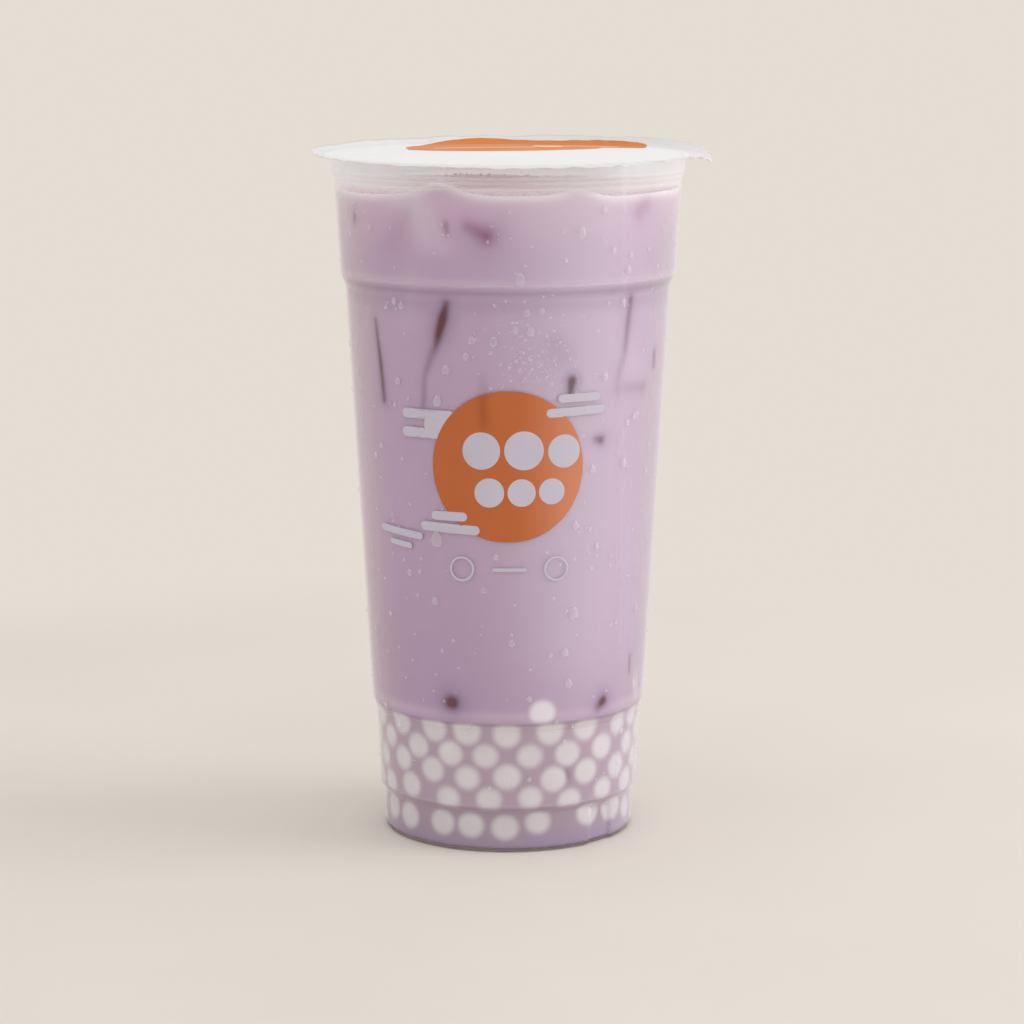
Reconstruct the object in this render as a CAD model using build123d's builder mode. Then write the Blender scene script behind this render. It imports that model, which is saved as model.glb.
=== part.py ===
"""Sealed plastic cup of milk tea over tapioca pearls.

Millimetres, +Z up, origin at the centre of the cup's foot. The front of the cup faces -Y.
The cup, the sealing film, the drink and the heap of pearls are separate solids. What is
inside the cup is cut from one solid of its hollow, so the contents meet the wall face to face.
"""

import os
from math import asin, cos, degrees, pi, radians, sin

from build123d import *

# Rim
rim_d = 90.0          # over the lip
lip_h = 3.5           # straight side of the lip
lip_flare_h = 2.8     # flare from the wall out to the lip
lip_out = 0.85        # how far the lip stands out from the wall
lip_round = 0.6       # rounding of the lip's outer top edge

# Wall sections, from the top down: height, and how much the outer radius loses over it
upper_h, upper_taper = 23.0, 1.42
shoulder_h, shoulder_in = 3.0, 1.23      # step below the upper section
body_h, body_taper = 106.7, 6.2
waist_h, waist_in = 2.6, 1.0             # step above the pearls
pearl_band_h, pearl_band_taper = 20.7, 0.95
ankle_h, ankle_in = 2.0, 1.05            # step above the base band
base_band_h = 10.0
step_round = 0.5                         # rounding where a wall meets a step

# Wall, floor and foot
wall = 0.6
floor_t = 0.8
foot_h = 1.2          # hollow under the floor
foot_w = 3.3          # width of the ring that the cup stands on
foot_round = 1.5
floor_round = 0.5     # rounding inside, where the floor dips into that ring

# Shallow upright grooves pressed into the base band, one each side
groove_w = 8.0
groove_depth = 0.7
groove_base = 2.6     # from the table to the groove's lower end
groove_angle = -42.0  # from +X

# Sealing film
film_t = 0.3
film_over = 4.4       # mean overhang past the lip
film_wide = 1.3       # extra overhang to the left and right
film_wave = 0.35      # ripple of the trimmed edge
film_waves = 11
film_spare = 0.5      # the sheet reaches this far past its trimmed edge before the trim
film_curl = 1.8       # how far the free edge curls up
film_shift = 0.7      # the film lies off centre, to +X

# Contents
pearl_d = 8.0
pearl_gap = 0.4       # between pearls in a ring, and between rings
pearl_clear = 0.15    # top pearls stay this far from the wall
bed_h = 33.2          # from the table to the flat under the top pearls
bed_sink = 1.2        # mean depth of the top pearls' centres below it
bed_uneven = 0.9
ring_wave = 2.4       # rise and fall of the top pearls, in radians from one to the next
ring_turn = 17.0      # turn between one ring of pearls and the next, in degrees
stray_angle = -76.0   # one pearl lies on top of the others, at the wall
stray_sink = 0.3      # how deep it reaches into the bed
headspace = 8.0       # from the drink's level to the rim
mound_w = 17.0        # ice under the surface lifts it into low mounds
mounds = ((-113.0, 3.3), (-66.0, 2.2))   # (angle from +X, height)
mound_in = 2.0        # from the wall to a mound's peak

# Heights and outer radii that follow
z_ankle = base_band_h + ankle_h
z_waist = z_ankle + pearl_band_h
z_body = z_waist + waist_h
z_shoulder = z_body + body_h
z_upper = z_shoulder + shoulder_h
z_flare = z_upper + upper_h
z_lip = z_flare + lip_flare_h
cup_h = z_lip + lip_h
level = cup_h - headspace

rim_r = rim_d / 2
r_flare = rim_r - lip_out
r_upper = r_flare - upper_taper
r_shoulder = r_upper - shoulder_in
r_body = r_shoulder - body_taper
r_waist = r_body - waist_in
r_ankle = r_waist - pearl_band_taper
r_base = r_ankle - ankle_in
r_foot_in = r_base - foot_round - foot_w
r_dip = r_foot_in + floor_t
pearl_r = pearl_d / 2

# The stepped wall as (radius, height), from the base band up to the lip's flare
wall_line = [
    (r_base, base_band_h),
    (r_ankle, z_ankle),
    (r_waist, z_waist),
    (r_body, z_body),
    (r_shoulder, z_shoulder),
    (r_upper, z_upper),
]


def wall_radius(z):
    """Outer radius of the wall at a height, by straight runs between its corners."""
    corners = [(r_base, 0.0)] + wall_line + [(r_flare, z_flare), (r_flare, cup_h)]
    for (r0, z0), (r1, z1) in zip(corners, corners[1:]):
        if z <= z1:
            return r0 + (r1 - r0) * (z - z0) / (z1 - z0)
    return corners[-1][0]


def upright(r, angle, z):
    """Point at a radius, an angle from +X in degrees and a height."""
    return (r * cos(radians(angle)), r * sin(radians(angle)), z)


def groove_planes(z):
    """Planes at the grooves' lower ends, with X pointing out of the cup."""
    return [
        Plane(origin=(0, 0, z), x_dir=upright(1, groove_angle + turn, 0), z_dir=(0, 0, 1))
        for turn in (0, 180)
    ]


def pearl_rings(r):
    """Places of the top layer's pearls: rings from a radius in, each with its own turn and a
    height that rises and falls round it."""
    pitch = pearl_d + pearl_gap
    places = []
    turn = 0.0
    while r > pitch / 2:
        count = int(2 * pi * r / pitch)
        for i in range(count):
            rise = bed_uneven * sin(ring_wave * i + r)
            places.append(upright(r, turn + 360 * i / count, bed_h - bed_sink + rise))
        r -= pitch
        turn += ring_turn
    return places


# The space inside the cup. It isn't a piece: the wall and the contents are cut with it.
with BuildPart() as hollow:
    with BuildSketch(Plane.XZ) as hollow_profile:
        with BuildLine():
            inner_wall = FilletPolyline(
                (0, foot_h + floor_t),
                (r_dip, foot_h + floor_t),
                (r_dip, floor_t),
                (r_base - wall, floor_t),
                *[(r - wall, z) for r, z in wall_line],
                (r_flare - wall, z_flare),
                radius=[floor_round, floor_round, foot_round - wall] + [step_round] * len(wall_line),
            )
            Polyline(inner_wall @ 1, (r_flare - wall, cup_h), (0, cup_h), inner_wall @ 0)
        make_face()
    revolve(axis=Axis.Z)
    for groove in groove_planes(groove_base - wall):
        with BuildSketch(groove):
            with Locations((r_base - groove_depth - wall, 0)):
                Rectangle(groove_depth + 2 * wall, groove_w + 2 * wall, align=(Align.MIN, Align.CENTER))
        extrude(amount=base_band_h - groove_base + wall, mode=Mode.SUBTRACT)

with BuildPart() as cup:
    with BuildSketch(Plane.XZ) as cup_profile:
        with BuildLine():
            FilletPolyline(
                (0, foot_h),
                (r_foot_in, foot_h),
                (r_foot_in, 0),
                (r_base, 0),
                *wall_line,
                (r_flare, z_flare),
                (rim_r, z_lip),
                (rim_r, cup_h),
                (0, cup_h),
                close=True,
                radius=[0, 0, 0, foot_round] + [step_round] * (len(wall_line) + 2) + [lip_round, 0],
            )
        make_face()
    revolve(axis=Axis.Z)
    for groove in groove_planes(groove_base):
        with BuildSketch(groove):
            with Locations((r_base - groove_depth, 0)):
                Rectangle(2 * groove_depth, groove_w, align=(Align.MIN, Align.CENTER))
        extrude(amount=base_band_h - groove_base, mode=Mode.SUBTRACT)
    add(hollow.part, mode=Mode.SUBTRACT)

# Heap of pearls: a bed that fills the foot of the cup, with the top layer standing out of it
with BuildPart() as pearls:
    with BuildSketch(Plane.XY):
        Circle(rim_r)
    extrude(amount=bed_h)
    outer_ring = wall_radius(bed_h - bed_sink - bed_uneven) - wall - pearl_clear - pearl_r
    stray = upright(outer_ring, stray_angle, bed_h + pearl_r - stray_sink)
    with Locations(*pearl_rings(outer_ring), stray):
        Sphere(pearl_r)
    add(hollow.part, mode=Mode.INTERSECT)

# Drink, up to its level, with low mounds where ice lifts the surface near the wall
with BuildPart() as taro_milk:
    with BuildSketch(Plane.XY):
        Circle(rim_r)
    extrude(amount=level)
    for angle, height in mounds:
        dome_r = ((mound_w / 2) ** 2 + height**2) / (2 * height)
        peak_r = wall_radius(level) - wall - mound_in
        with Locations(upright(peak_r, angle, level + height - dome_r)):
            Sphere(dome_r)
    add(hollow.part, mode=Mode.INTERSECT)
    add(pearls.part, mode=Mode.SUBTRACT)

# Sealing film: flat on the rim, its free edge curled up a little and trimmed unevenly
film_r = rim_r + film_over
film_span = film_over + film_wide + film_wave + film_shift + film_spare
curl_r = film_span**2 / (2 * film_curl)
curl_angle = degrees(asin(film_span / curl_r))
edge_points = []
for step in range(8 * film_waves):
    a = 2 * pi * step / (8 * film_waves)
    r = film_r + film_wide * cos(2 * a) + film_wave * sin(film_waves * a)
    edge_points.append((film_shift + r * cos(a), r * sin(a)))

with BuildPart() as film:
    with BuildSketch(Plane.XZ) as film_profile:
        with BuildLine():
            lower = Polyline((0, cup_h), (rim_r, cup_h))
            lower_curl = JernArc(lower @ 1, (1, 0), curl_r, curl_angle)
            upper = Polyline((0, cup_h + film_t), (rim_r, cup_h + film_t))
            upper_curl = JernArc(upper @ 1, (1, 0), curl_r, curl_angle)
            Line(lower @ 0, upper @ 0)
            Line(lower_curl @ 1, upper_curl @ 1)
        make_face()
    revolve(axis=Axis.Z)
    with BuildSketch(Plane.XY.offset(cup_h - film_t)):
        with BuildLine():
            Spline(*edge_points, periodic=True)
        make_face()
    extrude(amount=3 * film_t + film_curl, mode=Mode.INTERSECT)

os.makedirs("parts", exist_ok=True)
for name, piece in (("cup", cup), ("film", film), ("taro_milk", taro_milk), ("pearls", pearls)):
    piece.part.label = name
    export_step(piece.part, f"parts/{name}.step")
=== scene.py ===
"""Looks of a sealed cup of taro milk tea over tapioca pearls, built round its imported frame.

The shapes are worked out in millimetres, in the frame's own axes, and become metres when their
mesh is made. A place on the cup's wall is given as (u, z): u is the distance round the wall
from the front, positive to the right, and z is the height.
"""

import math

import bpy
import numpy as np
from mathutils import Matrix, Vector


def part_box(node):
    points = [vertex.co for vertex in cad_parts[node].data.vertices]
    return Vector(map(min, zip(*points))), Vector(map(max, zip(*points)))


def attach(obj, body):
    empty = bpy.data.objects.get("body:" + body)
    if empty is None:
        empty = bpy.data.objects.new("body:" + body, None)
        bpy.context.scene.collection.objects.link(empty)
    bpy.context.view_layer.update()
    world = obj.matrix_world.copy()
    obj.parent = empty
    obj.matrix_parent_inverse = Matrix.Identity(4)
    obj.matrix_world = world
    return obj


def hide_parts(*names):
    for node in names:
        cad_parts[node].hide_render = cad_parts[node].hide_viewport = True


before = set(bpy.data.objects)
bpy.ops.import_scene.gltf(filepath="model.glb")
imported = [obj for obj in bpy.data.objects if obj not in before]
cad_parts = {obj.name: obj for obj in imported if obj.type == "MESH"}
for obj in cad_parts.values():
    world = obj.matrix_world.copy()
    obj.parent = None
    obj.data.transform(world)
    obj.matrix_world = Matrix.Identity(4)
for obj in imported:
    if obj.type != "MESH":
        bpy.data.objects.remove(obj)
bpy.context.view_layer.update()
rng = np.random.default_rng(11)

# ---------------------------------------------------------------- sizes, in millimetres

MM = 0.001
cup_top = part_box("cup")[1]
top = cup_top.z / MM
rim_r = cup_top.x / MM

wall = 0.6
floor_t = 0.8
foot_h = 1.2
foot_in = rim_r - 17.5
base_band = 10.0
level = top - 8.0
bite = 0.08                 # how far the drink reaches into the wall
lip_r = rim_r - 0.85        # the wall's radius under its lip
film_t = 0.14

# The wall's outside as (radius, height, rounding), from the table up
outside = [
    (rim_r - 12.7, 0.0, 1.5),
    (rim_r - 12.7, base_band, 0.5),
    (rim_r - 11.65, 12.0, 0.5),
    (rim_r - 10.7, 31.6, 0.5),
    (rim_r - 9.7, 34.2, 0.5),
    (rim_r - 3.5, 141.4, 0.5),
    (rim_r - 2.27, 144.4, 0.5),
    (lip_r, 168.0, 0.5),
    (rim_r, 170.8, 0.5),
    (rim_r, top, 0.6),
]
# Outer corners of the steps, each with how strong the painted highlight along it is
shoulder_highlights = ((12.0, 0.12), (34.2, 0.05), (144.4, 0.2))
step_levels = (11.3, 33.9)  # heights of the two steps among the pearls

groove_angle = math.radians(-42.0)
groove_half = 4.0
groove_depth = 0.7

# Ice lifts the surface into mounds: (angle from +X in degrees, height, half width)
mounds = ((-112.5, 3.3, 8.5), (-66.5, 2.3, 6.5))
mound_r = 42.0

# Where ice shows at the wall, as soft dark strokes: both ends (u, z), both half widths, and how
# dark it is at both ends
strokes = [
    (-38.9, 134.6, -37.0, 124.0, 0.7, 0.8, 0.5, 0.9),
    (-37.0, 124.0, -35.8, 114.8, 0.8, 0.95, 0.9, 0.7),
    (-15.6, 140.0, -16.6, 136.4, 1.05, 1.3, 0.8, 1.4),
    (-16.6, 136.4, -17.6, 132.8, 1.3, 1.25, 1.4, 1.15),
    (-17.6, 132.8, -19.1, 127.6, 1.25, 0.95, 1.15, 0.4),
    (-19.4, 128.2, -21.8, 122.0, 1.2, 0.8, 0.4, 0.3),
    (-21.8, 122.0, -22.2, 114.6, 0.8, 0.9, 0.3, 0.34),
    (34.7, 140.4, 32.7, 127.5, 1.0, 0.95, 0.7, 0.45),
    (32.7, 127.5, 30.0, 118.8, 0.9, 1.3, 0.3, 0.12),
    (29.8, 118.2, 41.0, 117.6, 1.6, 1.5, 0.16, 0.24),
    (16.4, 121.0, 15.9, 117.4, 0.95, 0.8, 1.6, 0.7),
    (23.4, 105.9, 25.0, 105.6, 0.9, 1.0, 0.55, 0.9),
    (47.4, 125.4, 47.1, 122.4, 0.9, 0.8, 0.6, 0.5),
    (-6.2, 121.5, -6.0, 109.0, 1.2, 1.4, 0.12, 0.3),
    (12.4, 130.0, 13.4, 127.6, 3.0, 3.4, 0.13, 0.13),
    (-14.9, 39.1, -14.5, 39.0, 1.7, 1.7, 1.4, 1.4),
    (25.2, 36.6, 26.9, 38.0, 1.3, 1.2, 0.6, 1.4),
    (15.1, 20.2, 15.4, 19.4, 1.0, 1.0, 0.8, 0.8),
    (38.4, 47.5, 38.2, 43.6, 0.6, 0.5, 0.5, 0.4),
    (-9.8, 159.2, -5.2, 157.0, 1.7, 2.1, 0.45, 0.8),
    (-47.2, 160.6, -47.3, 159.3, 1.1, 1.1, 0.5, 0.45),
    (37.0, 162.0, 39.5, 163.6, 2.4, 2.6, 0.3, 0.25),
    (-27.0, 161.0, -31.0, 155.0, 3.2, 3.6, 0.2, 0.12),
    (-15.6, 159.6, -15.2, 157.6, 0.8, 0.7, 0.45, 0.35),
    (88.0, 138.0, 90.5, 121.0, 1.2, 1.0, 0.9, 0.4),
    (118.0, 128.0, 121.0, 112.0, 1.0, 1.0, 0.6, 0.7),
    (-104.0, 139.0, -101.0, 124.0, 1.2, 1.0, 0.9, 0.5),
    (-82.0, 118.0, -82.5, 108.0, 1.0, 1.2, 0.7, 0.3),
    (104.0, 157.0, 109.0, 159.5, 1.6, 1.4, 0.7, 0.6),
    (-112.0, 96.0, -110.5, 95.6, 1.0, 1.0, 0.7, 0.8),
    (78.0, 84.0, 78.6, 82.0, 0.8, 0.8, 0.6, 0.6),
]
# Pale ice just behind the wall, in the same way
pales = [
    (-26.5, 166.0, -20.5, 156.0, 5.0, 3.8, 1.0, 0.55),
    (-50.0, 163.0, -52.0, 154.0, 5.0, 4.0, 0.4, 0.15),
    (-21.0, 163.0, -16.5, 154.0, 2.6, 2.3, 0.6, 0.4),
    (33.0, 127.0, 38.0, 121.0, 4.0, 4.0, 0.25, 0.25),
    (-25.0, 147.0, -27.0, 136.0, 4.0, 4.0, 0.14, 0.1),
    (42.8, 40.8, 43.4, 37.6, 2.2, 2.0, 0.55, 0.45),
    (95.0, 166.0, 101.0, 154.0, 4.0, 3.0, 0.7, 0.4),
]

# ---------------------------------------------------------------- shader maths


class Socket:
    """A shader socket that can be used in arithmetic: each operator adds a Math node."""

    def __init__(self, shader, socket):
        self.shader = shader
        self.socket = socket

    def math(self, operation, first, second=0.0):
        return self.shader.node("Math", {"operation": operation}, {0: first, 1: second})

    def __add__(self, other):
        return self.math("ADD", self, other)

    def __radd__(self, other):
        return self.math("ADD", other, self)

    def __sub__(self, other):
        return self.math("SUBTRACT", self, other)

    def __rsub__(self, other):
        return self.math("SUBTRACT", other, self)

    def __mul__(self, other):
        return self.math("MULTIPLY", self, other)

    def __rmul__(self, other):
        return self.math("MULTIPLY", other, self)

    def __pow__(self, other):
        return self.math("POWER", self, other)

    def clamped(self):
        return self.math("MINIMUM", self.math("MAXIMUM", self, 0.0), 1.0)

    def rise(self, low, high):
        """0 below low, 1 above high, with a smooth S between."""
        return self.shader.node(
            "MapRange",
            {"interpolation_type": "SMOOTHSTEP"},
            {"Value": self, "From Min": low, "From Max": high},
        )

    def bell(self, middle, width):
        """1 at the middle, falling to both sides by the bell curve of this half width."""
        away = (self - middle) * (1 / width)
        return self.math("EXPONENT", 0.0 - away * away)


class Shader:
    """The node tree of a new material, or of a world. Every node comes from one method."""

    def __init__(self, name, world=None):
        self.material = world or bpy.data.materials.new(name)
        self.material.use_nodes = True
        self.tree = self.material.node_tree
        self.tree.nodes.clear()

    def node(self, kind, settings=None, inputs=None, out=0):
        """Adds a node of this kind, makes its settings, fills its sockets with values or links,
        and returns one of its outputs."""
        node = self.tree.nodes.new("ShaderNode" + kind)
        for name, value in (settings or {}).items():
            setattr(node, name, value)
        for name, value in (inputs or {}).items():
            if isinstance(value, Socket):
                self.tree.links.new(value.socket, node.inputs[name])
            else:
                node.inputs[name].default_value = value
        return Socket(self, node.outputs[out] if node.outputs else None)

    def mix(self, factor, first, second):
        """Mix of two colours."""
        return self.node(
            "Mix", {"data_type": "RGBA"}, {"Factor": factor, "A": first, "B": second}, out=2
        )

    def blend(self, factor, first, second):
        """Mix of two shaders."""
        return self.node("MixShader", None, {0: factor, 1: first, 2: second})

    def attribute(self, name):
        """Number painted on the piece under this name."""
        return self.node("Attribute", {"attribute_name": name}, out="Fac")

    def place(self):
        """Place on the piece, in metres."""
        return self.node("TexCoord", out="Object")

    def along(self, axis):
        """Place along one axis, "X", "Y" or "Z", in millimetres."""
        return self.node("SeparateXYZ", None, {"Vector": self.place()}, out=axis) * 1000

    def noise(self, scale, detail=2.0):
        """Soft noise, mostly near a half, with so many waves to the metre."""
        inputs = {"Vector": self.place(), "Scale": scale, "Detail": detail}
        return self.node("TexNoise", None, inputs)

    def matt(self, colour):
        """Body without any shine."""
        settings = {"Base Color": colour, "Roughness": 1.0, "Specular IOR Level": 0.0}
        return self.node("BsdfPrincipled", None, settings)

    def bump(self, height, strength, distance):
        """Normal of a surface raised by this height."""
        inputs = {"Height": height, "Strength": strength, "Distance": distance}
        return self.node("Bump", None, inputs)

    def done(self, surface):
        """The finished material with this surface."""
        self.node("OutputMaterial", None, {"Surface": surface})
        return self.material


def srgb(red, green, blue):
    """Linear colour, with alpha, of an sRGB colour given as 0 to 255."""
    linear = []
    for c in (red / 255, green / 255, blue / 255):
        linear.append(c / 12.92 if c <= 0.04045 else ((c + 0.055) / 1.055) ** 2.4)
    return (*linear, 1.0)


full_white = (1, 1, 1, 1)
backdrop_tone = srgb(228, 221, 212)


# ---------------------------------------------------------------- surfaces


def shell(name, points, material):
    """One mesh from points[copy, row, column, xyz] in millimetres. Each copy closes round its
    columns, and its first and last rows are poles, one point each. Rows run from the lower or
    inner pole to the other one, and columns run anticlockwise seen from there."""
    copies, rows, cols = points.shape[:3]
    rings = points[:, 1:-1].reshape(copies, -1, 3)
    verts = np.concatenate([points[:, :1, 0], rings, points[:, -1:, 0]], axis=1)
    ring = 1 + np.arange((rows - 2) * cols).reshape(rows - 2, cols)
    after = np.roll(ring, -1, axis=1)
    last = 1 + (rows - 2) * cols
    quads = np.stack([ring[:-1], after[:-1], after[1:], ring[1:]], -1).reshape(-1, 4)
    low = np.stack([np.zeros_like(ring[0]), after[0], ring[0]], -1)
    high = np.stack([np.full_like(ring[0], last), ring[-1], after[-1]], -1)
    starts = np.arange(copies)[:, None, None] * verts.shape[1]
    faces = (quads + starts).reshape(-1, 4).tolist()
    faces += (np.concatenate([low, high]) + starts).reshape(-1, 3).tolist()
    return drawn(name, verts, faces, material)


def hoops(name, points, material):
    """One mesh from points[copy, row, column, xyz] in millimetres, each copy closed round its
    columns and round its rows."""
    copies, rows, cols = points.shape[:3]
    here = np.arange(rows * cols).reshape(rows, cols)
    after = np.roll(here, -1, axis=1)
    quads = np.stack([here, after, np.roll(after, -1, axis=0), np.roll(here, -1, axis=0)], -1)
    starts = np.arange(copies)[:, None, None] * rows * cols
    faces = (quads.reshape(-1, 4) + starts).reshape(-1, 4).tolist()
    return drawn(name, points, faces, material)


def drawn(name, verts, faces, material):
    """The smooth mesh of these vertices and faces as a piece that rides the cup."""
    mesh = bpy.data.meshes.new(name)
    mesh.from_pydata((verts.reshape(-1, 3) * MM).tolist(), [], faces)
    mesh.polygons.foreach_set("use_smooth", np.ones(len(faces), bool))
    mesh.materials.append(material)
    piece = bpy.data.objects.new(name, mesh)
    bpy.context.scene.collection.objects.link(piece)
    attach(piece, "root")
    return piece


def paint(piece, name, values):
    """Stores one number for each vertex, for the piece's material to read."""
    data = piece.data.attributes.new(name, "FLOAT", "POINT").data
    data.foreach_set("value", np.asarray(values, np.float32))


def vertices(piece):
    """The piece's vertices in millimetres."""
    found = np.empty(len(piece.data.vertices) * 3, np.float32)
    piece.data.vertices.foreach_get("co", found)
    return found.reshape(-1, 3).astype(float) / MM


def rounded(corners):
    """Outline through corners (r, z, rounding). A corner is cut back on both runs by its
    rounding over the tangent of half its angle, and the arc that touches both runs joins the
    cuts, in five points."""
    line = [np.array(corners[0][:2])]
    for before, corner, after in zip(corners, corners[1:], corners[2:]):
        here = np.array(corner[:2])
        back = np.array(before[:2]) - here
        on = np.array(after[:2]) - here
        back, on = back / np.linalg.norm(back), on / np.linalg.norm(on)
        half = math.acos(np.clip(back @ on, -1, 1)) / 2
        if corner[2] == 0 or half > math.pi / 2 - 1e-3:
            line.append(here)
            continue
        middle = (back + on) / np.linalg.norm(back + on)
        centre = here + middle * corner[2] / math.sin(half)
        cut = corner[2] / math.tan(half)
        first, second = here + back * cut - centre, here + on * cut - centre
        turn = math.pi - 2 * half
        for k in np.linspace(0, 1, 5):
            arc = math.sin((1 - k) * turn) * first + math.sin(k * turn) * second
            line.append(centre + arc / math.sin(turn))
    line.append(np.array(corners[-1][:2]))
    return np.array(line)


def refined(line, longest):
    """The same outline with its runs divided so that none is longer than longest(r, z) at its
    middle."""
    out = [line[0]]
    for a, b in zip(line, line[1:]):
        parts = max(1, math.ceil(np.linalg.norm(b - a) / longest(*(a + b) / 2)))
        out += [a + (b - a) * k / parts for k in range(1, parts + 1)]
    return np.array(out)


def turned(line, angle):
    """Surface of revolution: points[row, column] of an outline (r, z) at angles round Z."""
    r, z = line[:, :1], line[:, 1:]
    return np.stack([r * np.cos(angle), r * np.sin(angle), z + 0 * angle], -1)


def step_between(low, high, x):
    """0 below low, 1 above high, and a smooth S between them."""
    t = np.clip((x - low) / (high - low), 0, 1)
    return t * t * (3 - 2 * t)


def circle(count):
    """So many angles evenly round a turn."""
    return np.arange(count) * 2 * np.pi / count


def unit_ball(rows, lon):
    """Points[row, column, xyz] of a ball of radius 1, from its lower pole to its upper one, at
    the angles lon round it."""
    lat = np.linspace(-np.pi / 2, np.pi / 2, rows)[:, None]
    across = np.cos(lat)
    return np.stack([across * np.cos(lon), across * np.sin(lon), np.sin(lat) + 0 * lon], -1)


outline = rounded(outside)


def wall_r(z):
    """Outer radius of the wall at a height. Down from the base band's top it stays the same."""
    return np.interp(z, outline[4:, 1], outline[4:, 0])


def on_wall(u, z, lift=0.0):
    """Point on the wall at (u, z), lifted off it."""
    r = wall_r(z)
    angle = -np.pi / 2 + u / r
    return np.stack([(r + lift) * np.cos(angle), (r + lift) * np.sin(angle), z + 0 * u], -1)


def pressed(points):
    """Points with the two grooves of the base band pressed in, opposite each other."""
    x, y, z = points[..., 0], points[..., 1], points[..., 2]
    r, angle = np.hypot(x, y), np.arctan2(y, x)
    off = (angle - groove_angle + np.pi / 2) % np.pi - np.pi / 2
    across = 1 - step_between(groove_half - 0.5, groove_half + 0.5, np.abs(off) * r)
    along = 1 - step_between(base_band - 0.8, base_band + 0.4, z)
    outer = step_between(26.5, 30.0, r)
    scale = 1 - groove_depth * across * along * outer / np.maximum(r, 1)
    return np.stack([x * scale, y * scale, z], -1)


# ---------------------------------------------------------------- materials


def glossed(shader, body, roughness, mirror=0.045, worn=1.0):
    """A body under a glossy surface, whose mirroring rises towards grazing by Schlick's rule,
    times how little it is worn."""
    facing = shader.node("LayerWeight", None, {"Blend": 0.5}, out="Facing")
    share = ((mirror + (1 - mirror) * facing**5) * worn).clamped()
    gloss = shader.node("BsdfGlossy", None, {"Color": full_white, "Roughness": roughness})
    return shader.blend(share, body, gloss)


def clear_plastic():
    """Thin polypropylene: see-through with a white haze that thickens in the lip and where it is
    seen edge-on, under a soft gloss. The haze also carries painted highlights along the steps
    and the lip's ridges, a painted sheen on the right of the front, and a painted contact
    shadow, dark brown, at the foot."""
    s = Shader("clear_plastic")
    x, y, z = (s.along(axis) for axis in "XYZ")
    clear = s.node("BsdfTransparent", None, {"Color": srgb(251, 250, 252)})
    above = s.mix(z.rise(150.0, 167.0), srgb(238, 227, 249), srgb(246, 247, 247))
    # Below 0.9 mm the haze turns dark brown: a painted contact shadow along the foot
    tone = s.mix(z.rise(0.3, 0.9), srgb(172, 132, 120), above)
    front = s.matt(tone)
    back = s.node("BsdfTranslucent", None, {"Color": srgb(245, 242, 245)})
    facing = s.node("LayerWeight", None, {"Blend": 0.5}, out="Facing")
    amount = 0.04 + 0.06 * s.noise(60.0, 3.0) + 0.2 * facing**3
    # Painted sheen on the front right: a broad painted reflection of the lamp and a narrow
    # painted highlight line near u = 28.5 mm
    mist = 0.12 * x.bell(17.0, 17.5) + 0.1 * x.bell(28.5, 1.3)
    amount = amount + mist * (1.0 - y.rise(-22.0, 0.0)) * z.rise(34.0, 60.0)
    amount = amount + z.rise(166.4, 168.2) * 0.78 * facing**0.6
    amount = amount + x.bell(33.0, 9.0) * 0.16 * (1.0 - z.rise(32.0, 35.0))
    # Thick haze at the foot, in the dark brown tone: painted contact shadow
    amount = amount + 0.6 * (1.0 - z.rise(0.2, 0.8))
    # Painted highlights: whiter haze along the outer corners of the steps and along the lip's
    # ridges
    for middle, white in shoulder_highlights:
        amount = amount + white * z.bell(middle + 0.4, 0.5)
    for middle in (168.2, 169.7, 170.9):
        amount = amount + 0.16 * z.bell(middle, 0.3)
    body = s.blend(amount.clamped(), clear, s.blend(0.4, front, back))
    return s.done(glossed(s, body, 0.36, worn=0.2 + 0.8 * z.rise(0.8, 3.0)))


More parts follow.
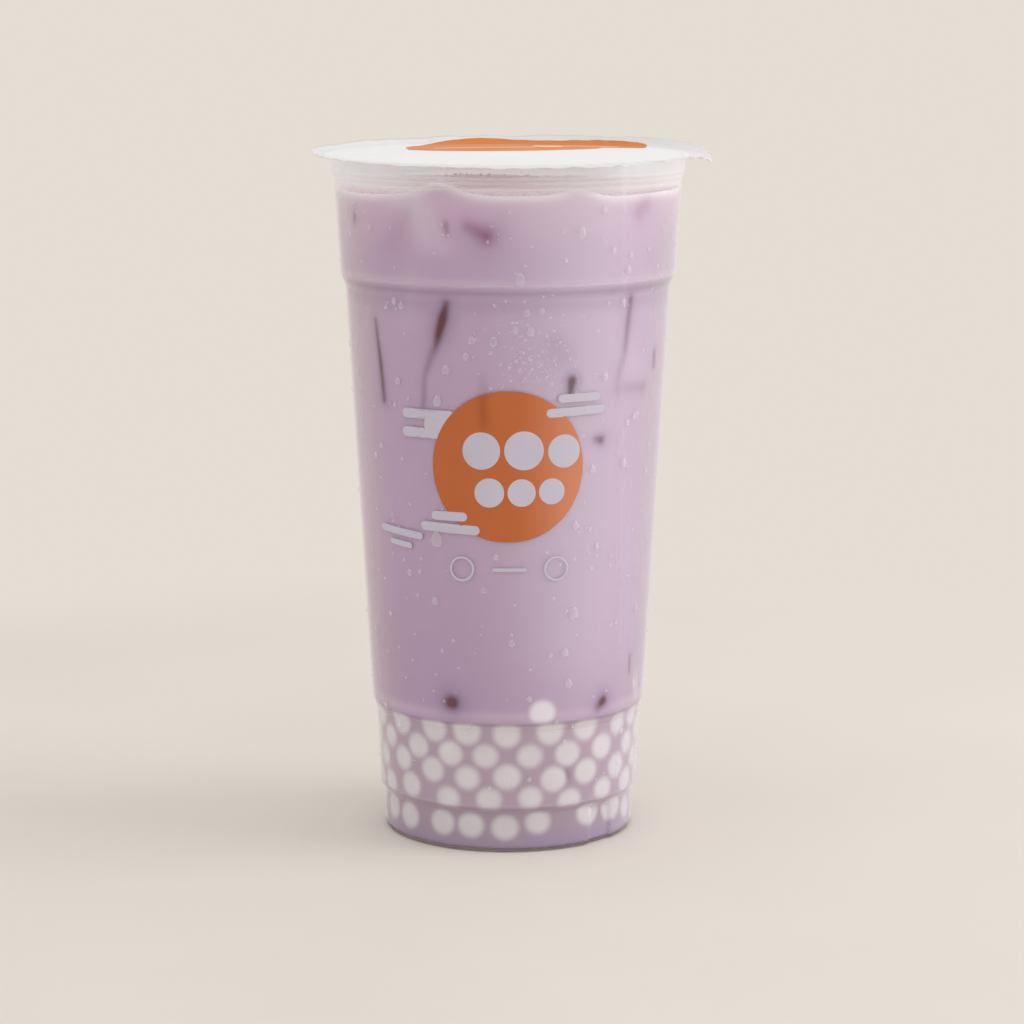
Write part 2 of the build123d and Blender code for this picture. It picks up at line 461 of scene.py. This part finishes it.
def taro_milk():
    """Opaque lilac milk. It is greyer among the pearls and bluer at the foot. Painted shade lies
    under each step and over the base band, painted highlights lie over the steps, a painted
    sheen lies on the right of the front, painted reflections tint its left and right edges, and
    the open top is paler, partly as froth and partly as painted light; attributes darken it over
    ice and pale it in the froth and over pearls."""
    s = Shader("taro_milk")
    x, y, z = (s.along(axis) for axis in "XYZ")
    lilac = s.mix(s.noise(14.0, 2.0), srgb(191, 163, 188), srgb(198, 173, 197))
    deep = s.mix((1.0 - z.rise(40.0, 90.0)) * 0.5, lilac, srgb(176, 146, 177))
    warm = s.mix(z.rise(149.0, 164.0) * 0.5, deep, srgb(224, 184, 210))
    band = s.mix(1.0 - z.rise(32.0, 35.0), warm, srgb(182, 160, 174))
    # Painted shade: the base band below the lowest step is darker
    low = s.mix((1.0 - z.rise(9.6, 11.4)) * 0.16, band, srgb(108, 92, 102))
    foot = s.mix((1.0 - z.rise(0.5, 8.0)) * 0.7, low, srgb(158, 140, 174))
    # Painted sheen: the front right is paler, standing in for a soft reflection of the lamp
    painted_light = 0.42 * x.bell(18.0, 16.5) * (1.0 - y.rise(-22.0, 0.0))
    painted_sheen = s.mix(painted_light * z.rise(20.0, 60.0), foot, srgb(226, 216, 226))
    # Painted reflections of the backdrop: a warm tint at the left edge and a grey one at the
    # right edge
    across = x * (34.6 + 0.056 * z) ** -1.0
    left = s.mix(0.35 * (1.0 - across.rise(-0.94, -0.7)), painted_sheen, srgb(212, 190, 178))
    right = s.mix(0.3 * across.rise(0.72, 0.95), left, srgb(186, 188, 180))
    pale = s.mix(s.attribute("pale"), right, srgb(222, 206, 218))
    # The open top is paler: partly froth colour, partly painted light that stands in for light
    # falling on it under the film
    open_top = s.mix(s.attribute("top"), pale, srgb(231, 201, 210))
    froth = s.mix(s.attribute("froth"), open_top, srgb(248, 238, 242))
    # Painted highlights just over the steps, and painted shade just under them
    over_steps = 0.3 * z.bell(35.9, 1.3) + 0.35 * z.bell(145.4, 0.9)
    painted_step_highlight = s.mix(over_steps, froth, srgb(226, 208, 214))
    under_steps = z.bell(11.2, 0.4) + 1.1 * z.bell(33.6, 0.4) + z.bell(142.9, 0.8)
    under_steps = under_steps + 0.5 * z.bell(139.8, 2.2)
    painted_step_shade = s.mix(under_steps * 0.34, painted_step_highlight, srgb(112, 88, 116))
    shade = s.mix(s.attribute("shade"), painted_step_shade, srgb(146, 122, 158))
    core = s.mix(z.rise(146.0, 152.0), srgb(92, 0, 24), srgb(138, 48, 104))
    ice = s.mix(s.attribute("ice"), shade, core)
    pearl_tone = s.mix(s.noise(160.0, 3.0), srgb(217, 212, 212), srgb(234, 231, 231))
    loose = s.mix(z.rise(34.0, 35.5), pearl_tone, srgb(239, 236, 238))
    pearl = s.mix(s.attribute("pearl"), ice, loose)
    # More painted shade below the lowest step, over the pearls too
    painted_base_shade = s.mix((1.0 - z.rise(9.6, 11.4)) * 0.1, pearl, srgb(112, 98, 100))
    settings = {"Base Color": painted_base_shade, "Roughness": 0.5, "IOR": 1.35}
    return s.done(s.node("BsdfPrincipled", None, settings))


def mottled(name, dark, light, scale, roughness, through=0.0):
    """Plain body whose colour wavers between two tones, and the share of light it lets through
    to what lies under it."""
    s = Shader(name)
    tone = s.mix(s.noise(scale, 3.0), dark, light)
    settings = {"Base Color": tone, "Roughness": roughness, "Specular IOR Level": 0.15}
    body = s.node("BsdfPrincipled", None, settings)
    if through:
        clear = s.node("BsdfTransparent", None, {"Color": full_white})
        body = s.blend(through * (1.0 - s.node("LightPath", out="Is Camera Ray")), body, clear)
    return s.done(body)


def orange_ink():
    """Orange ink on the wall, browner over one edge of ice and paler towards the light."""
    s = Shader("orange_print")
    x = s.along("X")
    plain = s.mix(s.noise(70.0, 3.0), srgb(184, 98, 54), srgb(196, 110, 64))
    # Painted light: the ink is paler to the right, towards the lamp
    painted_light = s.mix(0.34 * x.rise(2.0, 18.0), plain, srgb(232, 172, 146))
    over_ice = 0.4 * x.bell(-6.1, 1.3) * s.along("Z").rise(107.0, 112.0)
    tone = s.mix(over_ice, painted_light, srgb(136, 70, 44))
    settings = {"Base Color": tone, "Roughness": 0.45, "Specular IOR Level": 0.15}
    return s.done(s.node("BsdfPrincipled", None, settings))


def ice_glass():
    """Clear ice with a slightly uneven face."""
    s = Shader("ice")
    tone = s.mix(s.noise(120.0), srgb(226, 216, 230), srgb(240, 234, 242))
    settings = {
        "Base Color": tone,
        "Transmission Weight": 0.9,
        "Roughness": 0.08,
        "IOR": 1.31,
        "Normal": s.bump(s.noise(90.0), 0.2, 0.0005),
    }
    return s.done(s.node("BsdfPrincipled", None, settings))


def film_plastic():
    """White sealing film with fine wrinkles. Part of the light goes through it."""
    s = Shader("white_film")
    plain = s.mix(s.noise(30.0, 3.0), srgb(239, 242, 241), srgb(250, 253, 251))
    flat = s.node("VectorMath", {"operation": "MULTIPLY"}, {0: s.place(), 1: (1000, 1000, 0)})
    r = s.node("VectorMath", {"operation": "LENGTH"}, {0: flat}, out="Value")
    loose = s.mix(r.rise(45.4, 46.6) * 0.7, plain, srgb(224, 219, 219))
    tone = s.mix(r.bell(44.4, 0.35) * 0.35, loose, srgb(206, 200, 200))
    creases = s.noise(110.0, 4.0) + 0.5 * s.noise(420.0, 2.0)
    settings = {"Base Color": tone, "Roughness": 0.3, "Normal": s.bump(creases, 0.3, 0.001)}
    face = s.node("BsdfPrincipled", None, settings)
    glow = s.node("BsdfTranslucent", None, {"Color": srgb(248, 244, 244)})
    clear = s.node("BsdfTransparent", None, {"Color": full_white})
    through = 0.74 * (1.0 - s.node("LightPath", out="Is Camera Ray"))
    return s.done(s.blend(through, s.blend(0.18, face, glow), clear))


def water():
    """Water drops as thin clear domes: a faint white that grows to their edges under a sharp
    gloss."""
    s = Shader("water")
    clear = s.node("BsdfTransparent", None, {"Color": full_white})
    white = s.matt(s.mix(s.noise(200.0), srgb(238, 230, 240), srgb(250, 246, 251)))
    facing = s.node("LayerWeight", None, {"Blend": 0.5}, out="Facing")
    body = s.blend((0.12 + 0.15 * facing).clamped(), clear, white)
    return s.done(glossed(s, body, 0.3, mirror=0.05, worn=0.6))


# ---------------------------------------------------------------- cup


def make_cup():
    """The wall as one closed surface: under the foot, up the outside, over the lip, down the
    inside and across the floor, which dips into the foot's ring."""
    inside = [(r - wall, z, 0.5) for r, z, _ in outside[1:8]][::-1]
    dip = foot_in + floor_t
    corners = [(0, foot_h, 0), (foot_in, foot_h, 0.3), (foot_in, 0, 0.3), *outside]
    corners += [(lip_r - wall, top, 0.3), *inside, (outside[0][0] - wall, floor_t, 0.9)]
    corners += [(dip, floor_t, 0.5), (dip, foot_h + floor_t, 0.5), (0, foot_h + floor_t, 0)]
    line = refined(rounded(corners), lambda r, z: 0.9 if z < 12 and r > foot_in - 1 else 4.0)
    points = pressed(turned(line, circle(400)))
    cup = shell("cup_wall", points[None], clear_plastic())
    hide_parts("cup")


# ---------------------------------------------------------------- ice


def stroke_paint(points, rows, spread=1.0):
    """How strongly strokes on the wall mark points. A stroke's strength falls off by the bell
    curve of its half width, both of which run evenly from one end to the other."""
    u = (np.arctan2(points[:, 1], points[:, 0]) + np.pi / 2 + np.pi) % (2 * np.pi) - np.pi
    u, z = u * wall_r(points[:, 2]), points[:, 2]
    total = np.zeros(len(points))
    for u0, z0, u1, z1, w0, w1, s0, s1 in rows:
        du, dz = u1 - u0, z1 - z0
        t = np.clip(((u - u0) * du + (z - z0) * dz) / (du * du + dz * dz), 0, 1)
        away = np.hypot(u - u0 - t * du, z - z0 - t * dz)
        width = (w0 + (w1 - w0) * t) * spread
        total = np.maximum(total, (s0 + (s1 - s0) * t) * np.exp(-((away / width) ** 2)))
    return total


def make_ice():
    """Rounded blocks sunk in the drink, each with an edge along one of the darker strokes of the
    drink's upper part. A block is a ball cut along its three mid planes with the eighths moved
    apart."""
    side, round_r = 19.0, 1.5
    ball = unit_ball(12, circle(12) + np.pi / 12)
    block = np.sign(ball) * (side / 2 - round_r) + ball * round_r
    block[0, :, :2] = block[-1, :, :2] = 0
    blocks = []
    for u0, z0, u1, z1, _, _, dark, _ in strokes:
        if dark < 0.7 or not 50 < z0 < 150:
            continue
        low, high = on_wall(np.array([u0, u1]), np.array([z0, z1]), -wall - 0.6)
        edge = (high - low) / np.linalg.norm(high - low)
        out = (low + high) / 2 * [1, 1, 0]
        out = out - edge * (out @ edge)
        out /= np.linalg.norm(out)
        across = np.cross(edge, out)
        axes = np.stack([(out + across) / 2**0.5, (out - across) / 2**0.5, -edge])
        blocks.append(block @ axes + (low + high) / 2 - out * side / 2**0.5)
    shell("ice_blocks", np.stack(blocks), ice_glass())


# ---------------------------------------------------------------- pearls

rows_z = (7.4, 15.2, 20.6, 25.8, 30.8)
row_count = 20
band_r = 33.3               # mean inner radius of the wall over the pearls


def packed_pearls():
    """Centres and radii of the pearls against the wall. They start in staggered rows, scattered
    a little, as (angle, z), and push apart while they overlap, round a wall of one mean
    radius. One more lies on top of them."""
    count = row_count * len(rows_z)
    radius = rng.uniform(3.6, 4.05, count)
    mean_r = band_r - radius.mean()
    around = 2 * np.pi * mean_r
    row = np.arange(count) // row_count
    u = (np.arange(count) + 0.5 * (row % 2)) * around / row_count + rng.normal(0, 1.5, count)
    z = np.array(rows_z)[row] + rng.normal(0, 1.1, count)
    reach = (radius[:, None] + radius[None]) * 0.95
    for _ in range(60):
        du = (u[:, None] - u[None] + around / 2) % around - around / 2
        dz = z[:, None] - z[None]
        gap = np.hypot(du, dz) + np.eye(count) * 99
        push = np.maximum(0, reach - gap) * 0.25
        u = (u + (push * du / gap).sum(1)) % around
        z = np.clip(z + (push * dz / gap).sum(1), rows_z[0] - 0.9, rows_z[-1] + 0.7)
    angle = u / mean_r
    centre_r = wall_r(z) - wall - radius - rng.uniform(0.05, 0.4, count)
    centres = np.stack([centre_r * np.cos(angle), centre_r * np.sin(angle), z], -1)
    stray = on_wall(np.array([8.9]), np.array([37.0]), -wall - 3.45)
    return np.concatenate([centres, stray]), np.append(radius, 3.4)


def make_pearls(centres, radius):
    """The pearls at the wall, those of the top layer in rings, and the one that lies on them,
    as balls a little out of round, over a core."""
    rings = []
    for count, r, height, waves in ((15, 20.5, 31.8, 3), (9, 12.2, 32.0, 2), (3, 4.6, 32.4, 0)):
        for a in circle(count):
            rings.append((r * math.cos(a), r * math.sin(a), height + math.sin(waves * a)))
    middle = np.concatenate([centres, rings])
    size = np.concatenate([radius, np.full(len(rings), 4.0)])
    squash = rng.uniform(0.95, 1.03, (len(middle), 1, 1, 3))
    ball = unit_ball(9, circle(12))
    balls = middle[:, None, None] + size[:, None, None, None] * ball[None] * squash
    white = mottled("white_pearl", srgb(226, 220, 222), srgb(244, 240, 241), 120.0, 0.35)
    pearls = shell("tapioca_pearls", balls, white)
    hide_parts("pearls")
    core = rounded([(0, 3.0, 0), (25.0, 3.0, 3.0), (25.5, 29.0, 3.0), (0, 29.0, 0)])
    core = refined(core, lambda r, z: 3.0)
    shell("pearl_core", turned(core, circle(48))[None], white)


# ---------------------------------------------------------------- drink


def surface_height(x, y):
    """Height of the drink's surface: its level, a slow swell, the mounds over ice, and a rise
    where it clings to the wall."""
    r, angle = np.hypot(x, y), np.arctan2(y, x)
    z = level - 0.3 + 0.3 * np.sin(3 * angle + 0.6) + 0.15 * np.sin(8 * angle)
    for degrees, height, half in mounds:
        a = math.radians(degrees)
        away = np.hypot(x - mound_r * math.cos(a), y - mound_r * math.sin(a)) / half
        z = z + height * np.exp(-1.5 * away**1.7)
    return z + 0.5 * step_between(39.5, 43.2, r)


def make_drink(centres, radius):
    """The drink as one closed surface of revolution that reaches into the wall, whose top is
    lifted to the surface's height, with the paint that its material reads."""
    grip = bite - wall
    side = [(r + grip, z, 0.5) for r, z, _ in outside[1:7]]
    side[4:4] = [(float(wall_r(z)) + grip, z, 0) for z in (49.0, 96.0)]
    dip = foot_in + floor_t
    corners = [(0, foot_h + floor_t - bite, 0), (dip, foot_h + floor_t - bite, 0.3)]
    corners += [(dip, floor_t - bite, 0.3), (outside[0][0] + grip, floor_t - bite, 0.9), *side]
    corners += [(float(wall_r(level)) + grip, level, 0.3), (0, level, 0)]

    def longest(r, z):
        """Fine where paint is read, coarse between."""
        if z < 3 or 49 < z < 96:
            return 3.0
        return 0.7 if z < 49 else 0.85

    line = rounded(corners)
    peak = int(np.argmax(line[:, 1]))
    lower, upper = refined(line[: peak + 1], longest), refined(line[peak:], lambda r, z: 2.2)
    line = np.concatenate([lower, upper[1:]])
    front = np.linspace(-np.pi, 0, 290, endpoint=False)
    back = np.linspace(0, np.pi, 120, endpoint=False)
    points = pressed(turned(line, np.concatenate([front, back])))
    x, y, z = (points[..., k].copy() for k in range(3))
    lift = (surface_height(x, y) - level) * step_between(level - 9.0, level, z)
    points[..., 2] = z + lift
    points[..., :2] *= ((wall_r(z + lift) + grip) / (wall_r(z) + grip))[..., None]
    drink = shell("milk_tea", points[None], taro_milk())
    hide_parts("taro_milk")

    p = vertices(drink)
    at_wall = step_between(1.5, 0.6, wall_r(p[:, 2]) + grip - np.hypot(p[:, 0], p[:, 1]))
    paint(drink, "ice", stroke_paint(p, strokes) * at_wall)
    paint(drink, "shade", 0.5 * stroke_paint(p, strokes, 2.6) * at_wall)
    pearl = np.zeros(len(p))
    near = p[:, 2] < 44
    level_of = np.digitize(p[near, 2], step_levels)
    for centre, r in zip(centres, radius):
        away = np.linalg.norm(p[near] - centre, axis=-1) - r
        away = away - 0.7 * step_between(31.0, 33.4, p[near, 2]) * (centre[2] < 34)
        same = level_of == np.digitize(centre[2], step_levels)
        pearl[near] = np.maximum(pearl[near], same * (1 - step_between(0.7, 1.95, away)))
    veiled = np.exp(-(((p[:, 2] - 11.3) / 0.6) ** 2))
    veiled = veiled + np.exp(-(((p[:, 2] - 33.8) / 0.5) ** 2))
    paint(drink, "pearl", pearl * (1 - 0.7 * veiled))
    below = surface_height(p[:, 0], p[:, 1]) - p[:, 2]
    paint(drink, "froth", at_wall * np.exp(-((np.maximum(below, 0) / 1.5) ** 2)))
    paint(drink, "top", 1 - step_between(0.3, 0.9, below))
    haze = 0.52 * np.exp(-np.maximum(below, 0) / 4.6)
    paint(drink, "pale", np.clip(stroke_paint(p, pales) * at_wall + haze, 0, 1))


def make_froth():
    """Bubbles along the drink's edge, thickest at the mounds."""
    even = rng.uniform(-np.pi, np.pi, 420)
    left = np.radians(rng.normal(-110, 7, 70))
    right = np.radians(rng.normal(-66, 6, 60))
    a = np.concatenate([even, left, right])
    size = 0.16 + 0.26 * rng.random(len(a)) ** 2
    r = wall_r(level) - wall - size - np.abs(rng.normal(0, 0.5, len(a)))
    x, y = r * np.cos(a), r * np.sin(a)
    middle = np.stack([x, y, surface_height(x, y) + size * 0.2], -1)
    bubbles = middle[:, None, None] + size[:, None, None, None] * unit_ball(7, circle(8))
    tone = mottled("froth", srgb(226, 206, 216), srgb(240, 226, 232), 400.0, 0.3)
    shell("froth_bubbles", bubbles, tone)


# ---------------------------------------------------------------- film


def near_angle(angle, degrees, half):
    """Bell curve of the angle round one direction, half wide, both in degrees."""
    off = (angle - math.radians(degrees) + np.pi) % (2 * np.pi) - np.pi
    return np.exp(-((off / math.radians(half)) ** 2))


def film_height(x, y):
    """Height of the film's underside: flat on the lip, a low dome inside it, and outside it a
    free edge that curls up at the back, hangs at the right and is creased at the front."""
    r, angle = np.hypot(x, y), np.arctan2(y, x)
    dome = 1.2 * (1 - np.minimum(r / (rim_r - 1.5), 1) ** 2)
    out = np.maximum(r - rim_r, 0) / 5.0
    curl = 1.0 + 1.9 * np.sin(angle) - 1.7 * near_angle(angle, -6, 9)
    rough = 0.25 + 0.9 * near_angle(angle, -38, 26) + 0.35 * near_angle(angle, -165, 20)
    crease = 0.3 * np.sin(31 * angle + 2.2 * np.sin(5 * angle + 1))
    crease = crease + 0.22 * np.sin(53 * angle + 2.6 * np.sin(7 * angle))
    return top + dome + curl * out**1.6 + rough * crease * out


def film_edge(angle):
    """Radius of the film's trimmed edge."""
    lobe = 1.5 * near_angle(angle, -5, 5.5) + 0.6 * near_angle(angle, 180, 12)
    wave = 0.2 * np.sin(11 * angle) + 0.1 * np.sin(23 * angle + 1.0)
    wave = wave + 0.35 * near_angle(angle, -38, 22) * np.sin(41 * angle + np.sin(9 * angle))
    return 49.5 + 0.4 * np.cos(2 * angle) + 0.6 * np.cos(angle) + lobe + wave


def make_film():
    """The film as a thin closed sheet: its underside from the middle out, then its top back
    to the middle."""
    angle = circle(560)
    share = np.concatenate([np.linspace(0, 0.86, 22), np.linspace(0.87, 1, 20)])
    r = share[:, None] * film_edge(angle)
    x, y = r * np.cos(angle), r * np.sin(angle)
    under = np.stack([x, y, film_height(x, y)], -1)
    over = under[::-1] + np.array([0, 0, film_t])
    film = shell("seal_film", np.concatenate([under, over])[None], film_plastic())
    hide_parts("film")


# ---------------------------------------------------------------- print

ink_bite = 0.03             # how far ink reaches into what it lies on
over_lift = 0.055           # how far the ink over the disc stands off the wall
disc_z = 99.9
row_z = 73.9                # height of the row of rings and dash


def bar(length, height, count=72):
    """Outline of a bar with round ends, as (across, along) of so many points."""
    angle = circle(count)
    half = (length - height) / 2
    across = height / 2 * np.cos(angle) + half * np.tanh(9 * np.cos(angle))
    return across, height / 2 * np.sin(angle)


def swung(across, along, degrees):
    """An outline turned anticlockwise."""
    t = math.radians(degrees)
    return across * math.cos(t) - along * math.sin(t), across * math.sin(t) + along * math.cos(t)


def layer(across, along, inset):
    """Rows from the middle of a flat patch's back to its edge and back to the middle of its
    front, as shares of the way out. The rows next to the edge lie close to it."""
    reach = max(np.abs(across).max(), np.abs(along).max())
    grow = np.concatenate([np.linspace(0, 1 - inset / reach, 12), [1.0]])
    return np.concatenate([grow, grow[::-1]])[:, None]


def both_sides(share, back, front):
    """The height of a patch's back for half of its rows and of its front for the others."""
    return np.repeat([back, front], len(share) // 2)[:, None]


def wall_patch(u, z, tilt, shape, lift):
    """Thin closed layer of ink on the wall round (u, z), tilted by so many degrees."""
    across, along = swung(*shape, tilt)
    share = layer(across, along, 0.12)
    return on_wall(u + share * across, z + share * along, both_sides(share, -ink_bite, lift))


# Pale bars as (u, z, tilt in degrees, length, height): those under the disc, and those over it
under_bars = [
    (-18.5, 110.0, 0.0, 6.6, 5.2),
    (-21.0, 112.4, 0.0, 15.0, 2.5),
    (-22.3, 107.7, 0.0, 12.4, 2.6),
]
over_bars = [
    (18.4, 116.8, 0.6, 11.6, 2.1),
    (17.6, 113.4, 1.6, 16.0, 2.2),
    (-15.0, 87.1, 0.0, 9.6, 2.3),
    (-15.0, 84.0, -2.0, 16.0, 2.4),
    (-30.0, 81.8, -3.5, 15.0, 1.9),
    (-29.8, 78.8, -4.0, 7.9, 1.5),
]
# Pale dots as (u, z, radius)
dots = [
    (-6.6, 103.9, 4.7),
    (4.0, 104.0, 4.9),
    (14.2, 103.6, 4.2),
    (-4.6, 93.4, 3.7),
    (3.4, 93.4, 3.5),
    (11.0, 93.6, 3.3),
]


def make_print():
    """Orange disc with pale bars and dots, and a row of two rings and a dash below it."""
    pale = mottled("pale_print", srgb(191, 184, 198), srgb(203, 197, 211), 90.0, 0.45)
    disc = wall_patch(0.0, disc_z, 0.0, bar(38.6, 37.9, 120), 0.03)
    shell("print_disc", disc[None], orange_ink())
    marks = []
    for k, (u, z, tilt, length, height) in enumerate(under_bars):
        marks.append(wall_patch(u, z, tilt, bar(length, height), 0.006 + 0.004 * k))
    for u, z, tilt, length, height in over_bars:
        marks.append(wall_patch(u, z, tilt, bar(length, height), over_lift))
    for u, z, r in dots:
        marks.append(wall_patch(u, z, 0, bar(2 * r, 1.99 * r), over_lift))
    marks.append(wall_patch(0.4, row_z, 0, bar(8.6, 0.9), 0.04))
    shell("print_marks", np.stack(marks), pale)
    turn = circle(64)
    across = np.array([2.62, 2.62, 2.74, 3.06, 3.18, 3.18])[:, None]
    lift = np.array([-ink_bite, 0.01, 0.04, 0.04, 0.01, -ink_bite])[:, None]
    rings = []
    for u in (-11.6, 12.2):
        rings.append(on_wall(u + across * np.sin(turn), row_z + across * np.cos(turn), lift))
    hoops("print_rings", np.stack(rings), pale)


# Corners of the film's orange field as (x, y)
field = [
    (37.0, 29.5), (34.0, 34.0), (29.0, 38.5), (21.5, 42.8), (14.5, 45.2), (8.0, 46.6),
    (2.0, 47.6), (-4.0, 47.9), (-9.5, 47.4), (-14.0, 45.8), (-18.0, 43.6), (-23.0, 39.0),
    (-25.5, 26.0), (-26.0, 12.0), (-25.0, 3.0), (-17.5, -4.8), (-4.0, -8.4), (3.0, -7.6),
    (14.0, -1.4), (24.5, 16.0),
]
# The film's pale patch and lines as (x, y, length, width, tilt in degrees)
film_bars = [
    (10.5, 17.0, 8.0, 4.5, 15),
    (-6.0, 8.0, 26.0, 0.9, 6),
    (22.0, 24.0, 16.0, 0.9, 24),
]


def film_patch(centre, edge_x, edge_y, lift):
    """Thin closed layer of ink on the film, whose outline goes round a centre."""
    share = layer(edge_x, edge_y, 0.2)
    x = centre[0] + share * edge_x
    y = centre[1] + share * edge_y
    off = both_sides(share, film_t - ink_bite, film_t + lift)
    return np.stack([x, y, film_height(x, y) + off], -1)


def make_film_print():
    """Orange field with a small pale patch and two pale lines."""
    centre = np.array([4.0, 20.0])
    corners = np.array(field) - centre
    turn = np.unwrap(np.arctan2(corners[:, 1], corners[:, 0]))
    reach = np.hypot(corners[:, 0], corners[:, 1])
    angle = circle(160) + turn[0]
    radius = np.interp(angle, np.append(turn, turn[0] + 2 * np.pi), np.append(reach, reach[0]))
    radius = (np.roll(radius, 1) + radius + np.roll(radius, -1)) / 3
    orange = mottled("film_orange", srgb(208, 118, 44), srgb(220, 134, 62), 70.0, 0.5, 0.65)
    points = film_patch(centre, radius * np.cos(angle), radius * np.sin(angle), 0.04)
    shell("film_field", points[None], orange)
    pale = mottled("film_pale", srgb(238, 228, 222), srgb(248, 242, 238), 90.0, 0.35)
    marks = []
    for x, y, length, width, tilt in film_bars:
        marks.append(film_patch((x, y), *swung(*bar(length, width, 48), tilt), 0.08))
    shell("film_marks", np.stack(marks), pale)


# ---------------------------------------------------------------- drops

# The largest drops as (u, z, radius)
large_drops = [
    (-18.4, 80.8, 1.55), (18.6, 157.5, 1.15), (3.0, 146.5, 1.2), (-3.6, 131.0, 1.0),
    (5.6, 133.5, 1.0), (17.0, 62.0, 1.3), (15.7, 44.0, 1.0), (14.8, 52.0, 0.9),
    (-6.0, 68.6, 0.8), (1.0, 55.0, 0.8), (-19.0, 65.0, 0.9), (17.4, 84.5, 0.9),
    (-30.0, 120.0, 0.8), (-15.6, 123.7, 1.0), (-18.0, 115.8, 1.1), (-9.0, 131.3, 0.8),
    (-10.4, 127.3, 0.8), (25.8, 121.5, 0.9), (22.2, 98.4, 0.9), (32.7, 98.9, 1.0),
    (-28.5, 139.0, 0.8), (-30.8, 140.0, 0.8), (4.7, 138.0, 0.8), (8.4, 138.6, 0.7),
]


def make_drops():
    """Water drops on the wall, with a mist of fine ones above the disc. A drop is a low dome,
    drawn out downwards where it is large."""
    count, mist = 540, 105
    angle = rng.uniform(-np.pi, np.pi, count)
    z = rng.uniform(15, 165, count)
    size = 0.22 + 0.16 * rng.random(count) + 0.55 * rng.random(count) ** 6
    angle = np.concatenate([angle, rng.normal(0.12, 0.16, mist)])
    z = np.concatenate([z, 119.5 + np.abs(rng.normal(6, 9, mist))])
    size = np.concatenate([size, 0.2 + 0.2 * rng.random(mist) ** 2])
    clear = np.hypot(angle * wall_r(z), z - disc_z) > 19.5      # none on the disc
    angle, z, size = angle[clear], z[clear], size[clear]
    large = np.array(large_drops)
    u = np.concatenate([angle * wall_r(z), large[:, 0]])
    z = np.concatenate([z, large[:, 1]])
    size = np.concatenate([size, large[:, 2]])[:, None, None]
    u, z = u[:, None, None], z[:, None, None]
    share = np.array([0, 0.7, 1.0, 0.98, 0.88, 0.68, 0.38, 0.0])[:, None]
    height = np.array([-0.04, -0.04, -0.04, 0.2, 0.47, 0.73, 0.92, 1.0])[:, None]
    turn = circle(18)
    hang = 1.0 + 0.22 * np.minimum(size, 1.2)
    lean = np.where(np.sin(turn) > 0, hang * 1.15, hang)
    across = size * share * np.cos(turn) * (1 - 0.16 * np.sin(turn))
    along = size * share * np.sin(turn) * lean
    lift = np.where(height < 0, height, height * size * 0.36)
    points = on_wall(u + across, z + along, lift + 0 * across)
    shell("water_drops", points, water())


# ---------------------------------------------------------------- stage


def make_stage():
    """One wide floor. Past a soft line some way behind the cup, and all round at that distance,
    it becomes the plain pale backdrop."""
    s = Shader("floor")
    place = s.place()
    away = s.node("VectorMath", {"operation": "LENGTH"}, {0: place}, out="Value")
    tone = s.mix(s.noise(7.0, 4.0), srgb(219, 212, 203), srgb(229, 222, 213))
    floor = s.matt(tone)
    backdrop = s.node("Emission", None, {"Color": backdrop_tone, "Strength": 1.0})
    seen = s.node("LightPath", out="Is Camera Ray") + s.node("LightPath", out="Is Glossy Ray")
    seen = (seen + s.node("LightPath", out="Is Transmission Ray")).clamped()
    material = s.done(s.blend(away.rise(0.27, 0.36) * seen, floor, backdrop))
    half = 40.0
    corners = [(-half, -half, 0), (half, -half, 0), (half, half, 0), (-half, half, 0)]
    mesh = bpy.data.meshes.new("floor")
    mesh.from_pydata(corners, [], [(0, 1, 2, 3)])
    mesh.materials.append(material)
    piece = bpy.data.objects.new("floor", mesh)
    bpy.context.scene.collection.objects.link(piece)


def make_light(name, place, target, width, height, power, colour):
    """Rectangular lamp, aimed at the target. Places and sizes are in metres."""
    lamp = bpy.data.lights.new(name, "AREA")
    lamp.shape = "RECTANGLE"
    lamp.size, lamp.size_y = width, height
    lamp.energy = power
    lamp.color = colour
    piece = bpy.data.objects.new(name, lamp)
    bpy.context.scene.collection.objects.link(piece)
    piece.location = place
    aim = np.array(target) - np.array(place)
    flat = math.hypot(aim[0], aim[1])
    piece.rotation_euler = (math.atan2(flat, -aim[2]), 0, math.atan2(-aim[0], aim[1]))


def make_lights():
    """White light from all round, with one soft lamp at the right. The camera sees the plain
    backdrop in place of the white."""
    s = Shader("studio", bpy.data.worlds.new("studio"))
    white = s.node("Background", None, {"Color": (1.0, 0.99, 0.985, 1), "Strength": 0.93})
    backdrop = s.node("Background", None, {"Color": backdrop_tone, "Strength": 1.0})
    seen = s.node("LightPath", out="Is Camera Ray")
    s.node("OutputWorld", None, {"Surface": s.blend(seen, white, backdrop)})
    bpy.context.scene.world = s.material
    make_light("window", (1.2, -0.12, 0.5), (0, 0, 0.1), 0.8, 1.2, 7.2, (1.0, 1.0, 1.0))


def make_camera():
    """Long lens before the cup's front, a little above its top and tilted down."""
    tilt = 9.65
    data = bpy.data.cameras.new("camera")
    data.lens = 112.1
    data.sensor_width = 36.0
    camera = bpy.data.objects.new("camera", data)
    camera.location = (0.00103, -0.8138, 0.2205)
    camera.rotation_euler = (math.radians(90 - tilt), 0, 0)
    bpy.context.scene.collection.objects.link(camera)
    bpy.context.scene.camera = camera


make_camera()
make_lights()
make_stage()
make_cup()
pearl_centres, pearl_radii = packed_pearls()
make_drink(pearl_centres, pearl_radii)
make_pearls(pearl_centres, pearl_radii)
make_ice()
make_froth()
make_film()
make_print()
make_film_print()
make_drops()

bpy.context.scene.view_settings.view_transform = "Standard"
